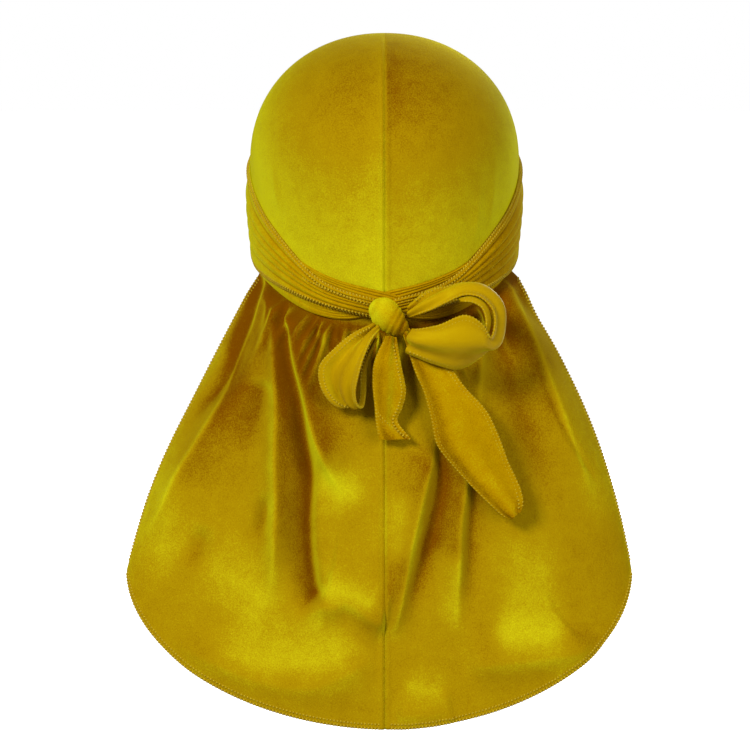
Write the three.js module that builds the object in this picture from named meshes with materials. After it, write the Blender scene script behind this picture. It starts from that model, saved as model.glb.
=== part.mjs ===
// Velvet durag, shaped as it is tied and worn. Two panels, seamed from the forehead over the
// crown and down to the hem, make the close crown and the long gathered tail. Two wide straps
// start at the temples, wind once round the crown and tie in a bow at the nape.
// Millimetres, +Z up. The wearer faces +Y, so the bow is on the -Y side and +X is the wearer's
// right. The origin is the middle of the head space inside the crown.
import * as THREE from "three";
import { mergeVertices } from "three/addons/utils/BufferGeometryUtils.js";

// Driving dimensions
const crown = {
  halfWidth: 80.2,
  halfLength: 97,
  topZ: 93,
  widestZ: 17,
  squareness: 2.1, // 2 is an ellipse, more is squarer
  sideTuck: 0.12, // share that the wall draws in by, one tuckDepth below the widest level
  napeTuck: 0.22,
  tuckDepth: 97,
  tuckPower: 1.4,
};
const crownRise = crown.topZ - crown.widestZ;
const rim = { middle: -38, swing: 40 }; // lowest at the nape, highest at the forehead
const cloth = { panel: 1.5, strap: 1.1, seamGap: 0.4, layGap: 0.5 };
const tail = {
  endTurn: 80, // the tail's front edges leave the rim this far round from the back seam
  widestZ: -220,
  hemZ: -306,
  hemBack: -112,
  hemSideForward: 48, // the hem's sides hang this far forward of its middle
  flare: 1.3, // over 1 keeps the upper tail near the neck
  puff: 8, // how far the gathered cloth springs out below the straps
  foldStart: 0.07, // share of the drop in which the folds open below the straps
  marginFrom: 0.92, // share across where the margin turns out, just below the straps
  marginWidth: 12,
  marginTurn: 150,
  marginEnd: 0.45, // share of the drop where the turned margin has run out
  foldTurn: 0.5, // how much of the crown's turn the folds still face by, at the top
  foldTurnHem: 0.2, // and at the hem
};
const foldFade = { startFrom: -0.04, startTo: 0.08, endFrom: 0.75, endTo: 1.12 }; // shares of a fold
// The tail's two sides: bow is how far the edge curves out past straight, more power puts that lower,
// and the hem is a superellipse, where 2 is an ellipse.
const tailSide = {
  left: { halfWidth: 151, bow: 7, bowPower: 1.5, hemPower: 1.86 },
  right: { halfWidth: 144.5, bow: 10, bowPower: 1.25, hemPower: 1.93 },
};
const strapPitch = cloth.strap + cloth.layGap;
const strapRib = { count: 3, rise: 0.7, fromTurn: 240, fullTurn: 262 }; // bunched ribs of the last run
// The last run's upper margin sinks to the crown, past the layers below it, where the run is wide.
const strapHug = { depth: 2.4, share: 0.33, fromTurn: 258, fullTurn: 270, fromHalf: 12, fullHalf: 24 };
const knot = { x: 3.5, y: -94.2, z: -71, halfWidth: 11.5, halfDepth: 9.5, halfHeight: 10.5 };
const knotRoll = { waist: 0.12, lean: -32 };

// Mesh densities
const steps = {
  backColumns: 22,
  frontColumns: 8,
  crownRows: 9,
  tailRows: 20,
  strapTurn: 9, // degrees
  ribbonAcross: 4,
  ribbonAlong: 20,
};

// Folds of the tail in the rear elevation: a ridge runs through three points, rises outwards and
// widens from spread to endSpread. A negative rise is a valley.
const foldTable = [
  { name: "left margin", x: [-72, -86, -112], z: [-54, -92, -165], rise: -5, spread: 6, endSpread: 10 },
  { name: "left outer ridge", x: [-64, -80, -112], z: [-54, -90, -190], rise: 8, spread: 7, endSpread: 14 },
  { name: "left upright", x: [-57, -59, -64], z: [-60, -130, -260], rise: 8, spread: 6, endSpread: 13 },
  { name: "left inner ridge", x: [-46, -45, -19], z: [-63, -112, -185], rise: 8, spread: 6, endSpread: 14 },
  { name: "left gather", x: [-33, -32, -30], z: [-70, -92, -130], rise: 4, spread: 6, endSpread: 8 },
  { name: "left billow", x: [-26, -20, -16], z: [-196, -216, -240], rise: 6, spread: 20, endSpread: 24 },
  { name: "seam ridge", x: [14, 27, 4], z: [-80, -150, -255], rise: 6, spread: 7, endSpread: 12 },
  { name: "seam valley", x: [26, 36, 22], z: [-80, -160, -240], rise: -4, spread: 6, endSpread: 9 },
  { name: "right inner ridge", x: [36, 47, 40], z: [-72, -160, -280], rise: 7, spread: 7, endSpread: 12 },
  { name: "right gather", x: [51, 56, 58], z: [-64, -96, -150], rise: 5, spread: 6, endSpread: 9 },
  { name: "right outer ridge", x: [66, 86, 124], z: [-56, -118, -200], rise: 9, spread: 7, endSpread: 18 },
  { name: "right margin", x: [73, 100, 132], z: [-54, -118, -180], rise: -4, spread: 6, endSpread: 10 },
];

// Each strap by sections along its way: turn in degrees from the back seam, growing away from its
// own root, the middle and half height on the crown, and the layer that it lies in, 1 innermost.
const strapStart = [
  { turn: -105, middle: 0, half: 16, layer: 1 },
  { turn: -60, middle: -33, half: 11, layer: 1 },
  { turn: -38, middle: -46, half: 5, layer: 1 },
];
const strapFinish = [
  { turn: 270, middle: -13, half: 27, layer: 3 },
  { turn: 300, middle: -35, half: 18, layer: 3 },
  { turn: 330, middle: -57, half: 7.5, layer: 3 },
  { turn: 359, middle: -67, half: 5.5, layer: 3 },
];
const strapTable = {
  left: [
    ...strapStart,
    { turn: -24, middle: -53, half: 4.5, layer: 2 },
    { turn: 0, middle: -62, half: 6, layer: 2 },
    { turn: 24, middle: -67.5, half: 5, layer: 2 },
    { turn: 60, middle: -44, half: 12, layer: 2 },
    { turn: 90, middle: -17, half: 20, layer: 2 },
    { turn: 135, middle: 10, half: 18, layer: 2 },
    { turn: 180, middle: 24, half: 16, layer: 2 },
    { turn: 208, middle: 16, half: 12, layer: 2 },
    { turn: 224, middle: 14, half: 14, layer: 3 },
    { turn: 240, middle: 4, half: 24, layer: 3 },
    ...strapFinish,
  ],
  right: [
    ...strapStart,
    { turn: -24, middle: -53, half: 4.5, layer: 1 },
    { turn: 0, middle: -62, half: 6, layer: 1 },
    { turn: 24, middle: -67.5, half: 5, layer: 1 },
    { turn: 38, middle: -63, half: 6, layer: 2 },
    { turn: 60, middle: -45, half: 12, layer: 2 },
    { turn: 90, middle: -17, half: 20, layer: 2 },
    { turn: 120, middle: 22, half: 14, layer: 2 },
    { turn: 136, middle: 42, half: 11, layer: 2 },
    { turn: 150, middle: 44, half: 12, layer: 3 },
    { turn: 180, middle: 32, half: 16, layer: 3 },
    { turn: 225, middle: 12, half: 24, layer: 3 },
    ...strapFinish,
  ],
};

// Bow ribbons by sections: the two edges of the cloth at each, and how far it bulges between them.
const ribbonTable = {
  loop_right: [
    { a: [15, -92.5, -64], b: [15.2, -95, -70], bulge: 1 },
    { a: [27, -91, -55], b: [32, -101, -62], bulge: 2 },
    { a: [43, -86, -50.5], b: [45, -105, -54], bulge: 3 },
    { a: [58, -84, -54], b: [56, -106, -58], bulge: 3 },
    { a: [65.5, -87, -67], b: [61, -108, -69], bulge: 3 },
    { a: [64, -92, -83], b: [59, -112, -77], bulge: 4 },
    { a: [55, -98, -94], b: [55, -116, -70], bulge: 5 },
    { a: [41, -102, -98], b: [45, -117, -65], bulge: 6 },
    { a: [26.5, -104, -94], b: [31, -115, -73], bulge: 4 },
    { a: [14, -103, -89.5], b: [17, -110, -76], bulge: 2 },
  ],
  loop_left: [
    { a: [-8, -97.3, -74], b: [-3, -99.8, -78.5], bulge: 1 },
    { a: [-22, -104, -86], b: [-9, -108, -86.5], bulge: 2 },
    { a: [-35, -105, -99], b: [-14, -112, -102], bulge: 4 },
    { a: [-35, -103, -112], b: [-15, -110, -114.5], bulge: 4 },
    { a: [-26, -99, -120], b: [-12, -105, -121], bulge: 2 },
    { a: [-32, -96, -113], b: [-10, -99, -114], bulge: -2 },
    { a: [-25, -94.5, -90], b: [-7, -97, -88.5], bulge: -1 },
    { a: [-8.8, -93, -77.5], b: [-3.5, -95.3, -81.3], bulge: 0 },
  ],
  end_left: [
    { a: [0.5, -99, -80.4], b: [6.5, -99, -81], bulge: -1 },
    { a: [-5, -103, -94.5], b: [9.5, -101, -96.5], bulge: -4 },
    { a: [-6.5, -101, -110.5], b: [12, -99, -111.5], bulge: -4 },
    { a: [-3, -100, -126], b: [11, -98, -124], bulge: -3 },
    { a: [0, -99, -139], b: [15, -99, -138], bulge: -1 },
  ],
  end_right: [
    { a: [10.3, -97.4, -79.2], b: [13.7, -97.4, -75.8], bulge: 1 },
    { a: [21, -98, -110], b: [42, -100, -104], bulge: -3 },
    { a: [29, -98, -133], b: [56, -101, -123], bulge: -4 },
    { a: [39, -99, -149], b: [65, -102, -142], bulge: -3 },
    { a: [53, -101, -164.5], b: [73, -102, -162], bulge: -2 },
    { a: [65, -101, -180], b: [78.5, -102, -177], bulge: 0 },
    { a: [70, -101, -184.5], b: [77, -102, -183.5], bulge: 0 },
  ],
};

const velvet = (name, colour, roughness) => {
  const material = new THREE.MeshStandardMaterial({ color: colour, roughness, metalness: 0 });
  material.name = name;
  return material;
};
const panelVelvet = velvet("panel_velvet", 0xa98f08, 0.85);
const strapVelvet = velvet("strap_velvet", 0xb08e0a, 0.85);

// Small helpers
const radians = (degrees) => (degrees * Math.PI) / 180;
const degrees = (angle) => (angle * 180) / Math.PI;
const mix = (from, to, share) => from + (to - from) * share;
const ease = (share) => share * share * (3 - 2 * share);
const rampUp = (from, to, value) => ease(Math.min(1, Math.max(0, (value - from) / (to - from))));

// The crown's outer face at a turn from the back seam and a height, pushed out by a distance.
function crownPoint(turn, z, out = 0) {
  const angle = radians(turn);
  const tuck = mix(crown.sideTuck, crown.napeTuck, Math.max(0, Math.cos(angle)) ** 2);
  const share =
    z >= crown.widestZ
      ? (1 - ((z - crown.widestZ) / crownRise) ** crown.squareness) ** (1 / crown.squareness)
      : 1 - tuck * ((crown.widestZ - z) / crown.tuckDepth) ** crown.tuckPower;
  return new THREE.Vector3(
    (crown.halfWidth * share + out) * Math.sin(angle),
    -(crown.halfLength * share + out) * Math.cos(angle),
    z,
  );
}

const rimHeight = (turn) => rim.middle - rim.swing * Math.cos(radians(turn));

// The height at an angle down from the apex, 90 degrees at the widest level, and the way back.
const heightAt = (angle) =>
  angle < 90
    ? crown.widestZ + crownRise * Math.cos(radians(angle)) ** (2 / crown.squareness)
    : crown.widestZ - crownRise * radians(angle - 90);
const angleAt = (z) => {
  const above = (z - crown.widestZ) / crownRise;
  return above > 0 ? degrees(Math.acos(above ** (crown.squareness / 2))) : 90 - degrees(above);
};

// How far the folds stand out at a place in the rear elevation.
function foldRise(x, z) {
  let total = 0;
  for (const fold of foldTable) {
    const [top, middle, end] = fold.z;
    const share = (z - top) / (end - top);
    const opened = rampUp(foldFade.startFrom, foldFade.startTo, share);
    const shown = opened * (1 - rampUp(foldFade.endFrom, foldFade.endTo, share));
    if (shown === 0) continue;
    const bend = (middle - top) / (end - top);
    const line =
      (fold.x[0] * (share - bend) * (share - 1)) / bend +
      (fold.x[1] * share * (share - 1)) / (bend * (bend - 1)) +
      (fold.x[2] * share * (share - bend)) / (1 - bend);
    const spread = mix(fold.spread, fold.endSpread, Math.min(1, Math.max(0, share)));
    total += fold.rise * shown * Math.exp(-(((x - line) / spread) ** 2));
  }
  return total;
}

const turnAcross = (across) => degrees(Math.asin(Math.sin(radians(tail.endTurn)) * across));

// The tail's outer face: across runs from the seam to the front edge, down from the rim to the hem.
function tailPoint(side, across, down) {
  const shape = side < 0 ? tailSide.left : tailSide.right;
  const turned = rampUp(0, tail.foldStart, down) * (1 - rampUp(tail.foldStart, tail.marginEnd, down));
  const stretched = across * mix(1, 1 / tail.marginFrom, turned);
  const body = Math.min(1, stretched);
  const beyond = Math.max(0, stretched - 1) / (1 / tail.marginFrom - 1);

  const turn = turnAcross(body);
  const top = crownPoint(side * turn, rimHeight(turn));
  const round = radians(90 * body);
  const hemX = side * shape.halfWidth * Math.sin(round) ** (2 / shape.hemPower);
  const hemZ = mix(tail.widestZ, tail.hemZ, Math.cos(round) ** (2 / shape.hemPower));
  const hemY = tail.hemBack + tail.hemSideForward * body ** 2;
  const point = new THREE.Vector3(
    mix(top.x, hemX, down) + side * body * shape.bow * Math.sin(Math.PI * down ** shape.bowPower),
    mix(top.y, hemY, down ** tail.flare) - tail.puff * Math.sin(Math.PI * Math.sqrt(down)),
    mix(top.z, hemZ, down),
  );

  const facing = radians(turn * mix(tail.foldTurn, tail.foldTurnHem, down));
  const back = new THREE.Vector3(side * Math.sin(facing), -Math.cos(facing), 0);
  const rise = foldRise(point.x, point.z) * rampUp(0, tail.foldStart, down);
  point.addScaledVector(back, rise);

  const outwards = new THREE.Vector3(side * Math.cos(facing), Math.sin(facing), 0);
  const margin = radians(tail.marginTurn);
  point.addScaledVector(outwards, beyond * tail.marginWidth * Math.cos(margin));
  point.addScaledVector(back, beyond * tail.marginWidth * Math.sin(margin));
  return point;
}

// A grid of points as triangles, with columns across and rows along.
function gridTriangles(columns, rows, pointAt, flip) {
  const places = [];
  const at = (column, row) => pointAt(column / columns, row / rows);
  for (let column = 0; column < columns; column++) {
    for (let row = 0; row < rows; row++) {
      const corners = [at(column, row), at(column + 1, row), at(column + 1, row + 1), at(column, row + 1)];
      const order = flip ? [0, 2, 1, 0, 3, 2] : [0, 1, 2, 0, 2, 3];
      for (const corner of order) places.push(...corners[corner].toArray());
    }
  }
  return places;
}

// Gives an open sheet of triangles a wall thickness, inwards from the face that they show.
function thicken(places, thickness, seamHalf = 0) {
  const corners = new THREE.Float32BufferAttribute(places, 3);
  const raw = new THREE.BufferGeometry().setAttribute("position", corners);
  const sheet = mergeVertices(raw, 1e-3);
  const triangles = [];
  for (let i = 0; i < sheet.index.count; i += 3) {
    const [a, b, c] = [0, 1, 2].map((k) => sheet.index.getX(i + k));
    if (a !== b && b !== c && c !== a) triangles.push([a, b, c]);
  }
  sheet.setIndex(triangles.flat());
  sheet.computeVertexNormals();

  const outer = sheet.attributes.position;
  const normal = sheet.attributes.normal;
  const walls = Array.from(outer.array);
  for (let i = 0; i < outer.count; i++) {
    const onSeam = Math.abs(outer.getX(i)) <= seamHalf + 1e-3;
    const inner = new THREE.Vector3().fromBufferAttribute(normal, i);
    if (onSeam) inner.setX(0).normalize();
    inner.multiplyScalar(-thickness).add(new THREE.Vector3().fromBufferAttribute(outer, i));
    walls.push(...inner.toArray());
  }

  const used = new Map();
  for (const [a, b, c] of triangles) {
    for (const [from, to] of [[a, b], [b, c], [c, a]]) used.set(from + "," + to, [from, to]);
  }
  const shift = outer.count;
  const index = triangles.flat();
  for (const [a, b, c] of triangles) index.push(a + shift, c + shift, b + shift);
  for (const [from, to] of used.values()) {
    if (used.has(to + "," + from)) continue;
    index.push(to, from, from + shift, to, from + shift, to + shift);
  }
  return new THREE.BufferGeometry()
    .setAttribute("position", new THREE.Float32BufferAttribute(walls, 3))
    .setIndex(index);
}

// One side of the cap and tail, cut in one piece: side is -1 for the left and 1 for the right.
function panelGeometry(side) {
  const clearSeam = (point) => point.setX(side * Math.max(side * point.x, cloth.seamGap / 2));
  const crownColumn = (turn) => (down) => {
    const z = heightAt(angleAt(rimHeight(turn)) * down);
    return clearSeam(crownPoint(side * turn, z));
  };
  const backCrown = (across, down) => crownColumn(turnAcross(across))(down);
  const frontCrown = (across, down) => crownColumn(mix(tail.endTurn, 180, across))(down);
  const tailSheet = (across, down) => clearSeam(tailPoint(side, across, down));
  const flip = side > 0;
  return thicken(
    [
      ...gridTriangles(steps.backColumns, steps.crownRows, backCrown, flip),
      ...gridTriangles(steps.frontColumns, steps.crownRows, frontCrown, flip),
      ...gridTriangles(steps.backColumns, steps.tailRows, tailSheet, flip),
    ],
    cloth.panel,
    cloth.seamGap / 2,
  );
}

// A strap wound on the crown from its root at the temple to the knot.
function strapGeometry(side) {
  const sections = strapTable[side < 0 ? "left" : "right"];
  const first = sections[0].turn;
  const last = sections[sections.length - 1].turn;
  const sectionAt = (turn) => {
    const next = Math.max(1, sections.findIndex((section) => section.turn >= turn));
    const [from, to] = [sections[next - 1], sections[next]];
    const share = ease((turn - from.turn) / (to.turn - from.turn));
    const value = (column) => mix(from[column], to[column], share);
    return { middle: value("middle"), half: value("half"), layer: value("layer") };
  };
  const surface = (along, over) => {
    const turn = mix(first, last, along);
    const { middle, half, layer } = sectionAt(turn);
    const ribbed = rampUp(strapRib.fromTurn, strapRib.fullTurn, turn);
    const rib = ribbed * strapRib.rise * Math.sin(Math.PI * strapRib.count * over) ** 2;
    const late = rampUp(strapHug.fromTurn, strapHug.fullTurn, turn);
    const wide = rampUp(strapHug.fromHalf, strapHug.fullHalf, half);
    const hug = late * wide * strapHug.depth * (1 - rampUp(0, strapHug.share, over));
    const out = cloth.layGap + cloth.strap + (layer - 1) * strapPitch + rib - hug;
    return crownPoint(-side * turn, middle + half * (1 - 2 * over), out);
  };
  const along = Math.round((last - first) / steps.strapTurn);
  return thicken(gridTriangles(along, 2 * strapRib.count, surface, side < 0), cloth.strap);
}

// A ribbon of the bow through its table of sections.
function ribbonGeometry(sections) {
  const edge = (name) => {
    const points = sections.map((section) => new THREE.Vector3(...section[name]));
    return new THREE.CatmullRomCurve3(points);
  };
  const [edgeA, edgeB] = [edge("a"), edge("b")];
  const surface = (along, over) => {
    const [a, b] = [edgeA.getPoint(along), edgeB.getPoint(along)];
    const run = edgeA.getTangent(along).add(edgeB.getTangent(along));
    const face = new THREE.Vector3().crossVectors(b.clone().sub(a), run).normalize();
    const place = along * (sections.length - 1);
    const row = Math.min(sections.length - 2, Math.floor(place));
    const bulge = mix(sections[row].bulge, sections[row + 1].bulge, place - row);
    return a.lerp(b, over).addScaledVector(face, bulge * Math.sin(Math.PI * over));
  };
  return thicken(gridTriangles(steps.ribbonAlong, steps.ribbonAcross, surface, true), cloth.strap);
}

// The knot: a rounded roll of strap, waisted where it bends over.
function knotGeometry() {
  const ball = new THREE.SphereGeometry(1, 16, 12);
  const place = ball.attributes.position;
  const roll = new THREE.Matrix4().makeRotationY(radians(knotRoll.lean));
  for (let i = 0; i < place.count; i++) {
    const point = new THREE.Vector3().fromBufferAttribute(place, i);
    point.z *= 1 - knotRoll.waist * point.x ** 2;
    point.multiply(new THREE.Vector3(knot.halfWidth, knot.halfDepth, knot.halfHeight)).applyMatrix4(roll);
    place.setXYZ(i, point.x, point.y, point.z);
  }
  ball.deleteAttribute("normal");
  ball.deleteAttribute("uv");
  return mergeVertices(ball, 1e-3);
}

const durag = new THREE.Group();
durag.name = "durag";

function addPiece(name, geometry, material) {
  const piece = new THREE.Mesh(geometry, material);
  piece.name = name;
  durag.add(piece);
  return piece;
}

for (const [name, side] of [["left", -1], ["right", 1]]) {
  addPiece("panel_" + name, panelGeometry(side), panelVelvet);
  addPiece("strap_" + name, strapGeometry(side), strapVelvet);
}
for (const [name, sections] of Object.entries(ribbonTable)) {
  addPiece(name, ribbonGeometry(sections), strapVelvet);
}
addPiece("knot", knotGeometry(), strapVelvet).position.set(knot.x, knot.y, knot.z);

export default durag;
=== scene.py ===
# Velvet durag, tied as it is worn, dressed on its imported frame.
# Metres in the scene, millimetres in the tables of the cloth's form. +Z is up. The bow is on the -Y side.
import math

import bmesh
import bpy
import numpy as np
from mathutils import Matrix, Vector


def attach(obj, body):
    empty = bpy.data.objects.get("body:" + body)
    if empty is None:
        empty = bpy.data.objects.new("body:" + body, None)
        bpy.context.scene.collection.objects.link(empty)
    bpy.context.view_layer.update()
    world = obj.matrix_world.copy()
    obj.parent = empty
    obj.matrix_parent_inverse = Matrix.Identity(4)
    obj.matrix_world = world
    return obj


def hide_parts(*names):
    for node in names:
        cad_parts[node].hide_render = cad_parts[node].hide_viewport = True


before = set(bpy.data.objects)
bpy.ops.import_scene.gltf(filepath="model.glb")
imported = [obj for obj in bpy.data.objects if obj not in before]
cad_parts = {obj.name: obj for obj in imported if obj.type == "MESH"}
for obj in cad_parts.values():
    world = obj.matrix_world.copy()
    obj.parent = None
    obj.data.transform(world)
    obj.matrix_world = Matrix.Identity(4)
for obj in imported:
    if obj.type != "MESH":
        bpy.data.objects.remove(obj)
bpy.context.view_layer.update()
print("frame loaded")

mm = 0.001

# Camera at the photograph's viewing angle, behind and a little above
cameraView = {"target": (-0.0057, 0.0, -0.1114), "distance": 2.2, "elevation": 5, "lens": 176, "sensor": 36}
lift = math.radians(cameraView["elevation"])
lensData = bpy.data.cameras.new("studioCamera")
lensData.lens = cameraView["lens"]
lensData.sensor_width = cameraView["sensor"]
studioCamera = bpy.data.objects.new("studioCamera", lensData)
studioCamera.location = Vector(cameraView["target"]) + cameraView["distance"] * Vector(
    (0, -math.cos(lift), math.sin(lift))
)
studioCamera.rotation_euler = (math.pi / 2 - lift, 0, 0)
bpy.context.collection.objects.link(studioCamera)
bpy.context.scene.camera = studioCamera
print("camera set")


# Small helpers
def mix(first, last, share):
    return first + (last - first) * share


def rampUp(start, end, value):
    share = np.clip((value - start) / (end - start), 0, 1)
    return share * share * (3 - 2 * share)


def throughPoints(points, count):
    # Catmull-Rom curve through the points, at count places or at the given shares
    rows = np.array(points, dtype=float)
    last = len(rows) - 1
    shares = np.linspace(0, 1, count) if isinstance(count, int) else np.asarray(count, dtype=float)
    place = np.clip(shares, 0, 1) * last
    step = np.minimum(np.floor(place).astype(int), last - 1)
    t = (place - step)[:, None]
    padded = np.vstack([2 * rows[0] - rows[1], rows, 2 * rows[-1] - rows[-2]])
    before, here, there, after = (padded[step + k] for k in range(4))
    curve = 2 * here + (there - before) * t
    curve = curve + (2 * before - 5 * here + 4 * there - after) * t**2
    curve = curve + (3 * here - before - 3 * there + after) * t**3
    return curve / 2


def unit(vectors):
    return vectors / np.maximum(np.linalg.norm(vectors, axis=-1, keepdims=True), 1e-9)


def linearColour(hexValue):
    # sRGB hex to linear, with full alpha
    channels = [int(hexValue[i : i + 2], 16) / 255 for i in (1, 3, 5)]
    return [c / 12.92 if c <= 0.04045 else ((c + 0.055) / 1.055) ** 2.4 for c in channels] + [1.0]


def addNode(tree, kind, settings=None, links=None):
    # Adds a node, sets its properties and inputs, and links other nodes' outputs to its inputs
    node = tree.nodes.new(kind)
    for key, value in (settings or {}).items():
        if isinstance(key, str) and hasattr(node, key):
            setattr(node, key, value)
        else:
            node.inputs[key].default_value = value
    for key, source in (links or {}).items():
        tree.links.new(source, node.inputs[key])
    return node


# Velvet: a dense short pile on a knitted back, dyed golden yellow. Deep brown where one looks into
# the pile and pale greenish yellow where the pile lies over are painted shade and painted sheen,
# and handling leaves crush marks about a centimetre across. The nap attribute holds that painted
# shade and sheen at each place.
def velvetMaterial(name, spec):
    material = bpy.data.materials.new(name)
    material.use_nodes = True
    tree = material.node_tree
    shader = tree.nodes["Principled BSDF"]
    place = addNode(tree, "ShaderNodeTexCoord").outputs["Object"]
    napAndPaintedLight = addNode(tree, "ShaderNodeAttribute", {"attribute_name": "napAndPaintedLight"}).outputs["Fac"]
    crush = addNode(
        tree,
        "ShaderNodeTexNoise",
        {"Scale": 1 / (spec["crushSize"] * mm), "Detail": 5, "Roughness": 0.62, "Distortion": 0.4},
        {"Vector": place},
    ).outputs["Fac"]
    grain = addNode(
        tree,
        "ShaderNodeTexNoise",
        {"Scale": 1 / (spec["grainSize"] * mm), "Detail": 2, "Roughness": 0.6},
        {"Vector": place},
    ).outputs["Fac"]
    crushAndPaintedLight = addNode(
        tree, "ShaderNodeMath", {"operation": "MULTIPLY_ADD", 1: spec["crushShare"]}, {0: crush, 2: napAndPaintedLight}
    ).outputs["Value"]
    paintedLightAndNoise = addNode(
        tree, "ShaderNodeMath", {"operation": "MULTIPLY_ADD", 1: spec["grainShare"]}, {0: grain, 2: crushAndPaintedLight}
    ).outputs["Value"]
    middling = 0.5 * (spec["crushShare"] + spec["grainShare"])  # what the two noises add on average
    lower = addNode(
        tree,
        "ShaderNodeMapRange",
        {"interpolation_type": "SMOOTHSTEP", "From Min": middling, "From Max": middling + 0.5},
        {"Value": paintedLightAndNoise},
    ).outputs["Result"]
    upper = addNode(
        tree,
        "ShaderNodeMapRange",
        {"From Min": middling + 0.5, "From Max": middling + 1.0},
        {"Value": paintedLightAndNoise},
    ).outputs["Result"]
    shaded = addNode(
        tree,
        "ShaderNodeMix",
        {"data_type": "RGBA", 6: linearColour(spec["deep"]), 7: linearColour(spec["middle"])},
        {0: lower},
    ).outputs[2]
    tone = addNode(
        tree, "ShaderNodeMix", {"data_type": "RGBA", 7: linearColour(spec["lit"])}, {0: upper, 6: shaded}
    ).outputs[2]
    crushBump = addNode(
        tree, "ShaderNodeBump", {"Strength": spec["crushBump"], "Distance": 1.2 * mm}, {"Height": crush}
    ).outputs["Normal"]
    pileBump = addNode(
        tree,
        "ShaderNodeBump",
        {"Strength": spec["grainBump"], "Distance": 0.4 * mm},
        {"Height": grain, "Normal": crushBump},
    ).outputs["Normal"]
    tree.links.new(tone, shader.inputs["Base Color"])
    tree.links.new(pileBump, shader.inputs["Normal"])
    shader.inputs["Roughness"].default_value = spec["roughness"]
    shader.inputs["Specular IOR Level"].default_value = spec["gloss"]
    shader.inputs["Specular Tint"].default_value = linearColour(spec["sheenTint"])
    shader.inputs["IOR"].default_value = 1.5
    shader.inputs["Sheen Weight"].default_value = spec["sheen"]
    shader.inputs["Sheen Roughness"].default_value = spec["sheenRoughness"]
    shader.inputs["Sheen Tint"].default_value = linearColour(spec["sheenTint"])
    return material


panelPile = {
    "crushSize": 10,  # mm
    "grainSize": 0.7,  # coarser than real pile, so that it shows
    "crushShare": 0.26,
    "grainShare": 0.62,
    # deep and lit are the ends of the painted shade and painted sheen, middle the velvet's own colour
    "deep": "#744200",
    "middle": "#a68604",
    "lit": "#d2cc10",
    "crushBump": 0.3,
    "grainBump": 0.55,
    "roughness": 0.85,
    "gloss": 0.03,
    "sheen": 0.45,
    "sheenRoughness": 0.35,
    "sheenTint": "#dcd60c",
}
strapPile = {**panelPile, "crushSize": 8, "crushShare": 0.3, "middle": "#ae8600"}
# The bow shows the knitted back of the cloth in places, which is smooth and has a soft satin gloss
loopBack = {
    **strapPile,
    "crushShare": 0.12,
    "grainShare": 0.2,
    "grainBump": 0.15,
    "middle": "#b08c02",
    "roughness": 0.5,
    "gloss": 0.4,
    "sheen": 0.25,
}
panelVelvet = velvetMaterial("goldPanelVelvet", panelPile)
strapVelvet = velvetMaterial("goldStrapVelvet", strapPile)
satinBack = velvetMaterial("goldKnittedBack", loopBack)


# Overlock thread: textured polyester, fuzzy and a little paler than the velvet
def threadMaterial(name, spec):
    material = bpy.data.materials.new(name)
    material.use_nodes = True
    tree = material.node_tree
    shader = tree.nodes["Principled BSDF"]
    place = addNode(tree, "ShaderNodeTexCoord").outputs["Object"]
    ply = addNode(
        tree, "ShaderNodeTexNoise", {"Scale": 1 / (spec["plySize"] * mm), "Detail": 1}, {"Vector": place}
    ).outputs["Fac"]
    tone = addNode(
        tree,
        "ShaderNodeMix",
        {"data_type": "RGBA", 6: linearColour(spec["deep"]), 7: linearColour(spec["lit"])},
        {0: ply},
    ).outputs[2]
    bump = addNode(
        tree, "ShaderNodeBump", {"Strength": 0.4, "Distance": 0.2 * mm}, {"Height": ply}
    ).outputs["Normal"]
    tree.links.new(tone, shader.inputs["Base Color"])
    tree.links.new(bump, shader.inputs["Normal"])
    shader.inputs["Roughness"].default_value = 0.7
    shader.inputs["Specular IOR Level"].default_value = 0.15
    return material


threadFinish = {"plySize": 0.7, "deep": "#8a660a", "lit": "#d8be20"}
overlockThread = threadMaterial("overlockThread", threadFinish)
print("materials ready")

# The crown's form, a close rounded cap
crown = {
    "halfWidth": 80.2,
    "halfLength": 97,
    "topZ": 93,
    "widestZ": 17,
    "squareness": 2.1,
    "sideTuck": 0.12,
    "napeTuck": 0.22,
    "tuckDepth": 97,
    "tuckPower": 1.4,
    "rimMiddle": -38,
    "rimSwing": 40,
}
crownRise = crown["topZ"] - crown["widestZ"]


def crownPoint(turn, z, out=0.0):
    angle = np.radians(turn)
    tuck = mix(crown["sideTuck"], crown["napeTuck"], np.maximum(0, np.cos(angle)) ** 2)
    above = np.clip((z - crown["widestZ"]) / crownRise, 0, 1)
    below = np.clip((crown["widestZ"] - z) / crown["tuckDepth"], 0, None)
    power = crown["squareness"]
    share = (1 - above**power) ** (1 / power) - tuck * below ** crown["tuckPower"]
    x = (crown["halfWidth"] * share + out) * np.sin(angle)
    y = -(crown["halfLength"] * share + out) * np.cos(angle)
    return np.stack([x, y, z + 0 * x], axis=-1)


def rimHeight(turn):
    return crown["rimMiddle"] - crown["rimSwing"] * np.cos(np.radians(turn))


def crownHeight(turn, down):
    # Height on the crown, by shares of the way from the apex to the rim
    rimShare = (rimHeight(turn) - crown["widestZ"]) / crownRise
    rimAngle = np.where(
        rimShare > 0,
        np.arccos(np.clip(rimShare, 0, 1) ** (crown["squareness"] / 2)),
        math.pi / 2 - rimShare,
    )
    angle = rimAngle * down
    upper = crown["widestZ"] + crownRise * np.cos(np.clip(angle, 0, math.pi / 2)) ** (2 / crown["squareness"])
    lower = crown["widestZ"] - crownRise * (angle - math.pi / 2)
    return np.where(angle < math.pi / 2, upper, lower)


def bent(rise, left, right, fade):
    # A fold's height, its widths to the two sides, and the shares of its path over which it fades
    return {"rise": rise, "left": left, "right": right, "fade": fade}


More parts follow.
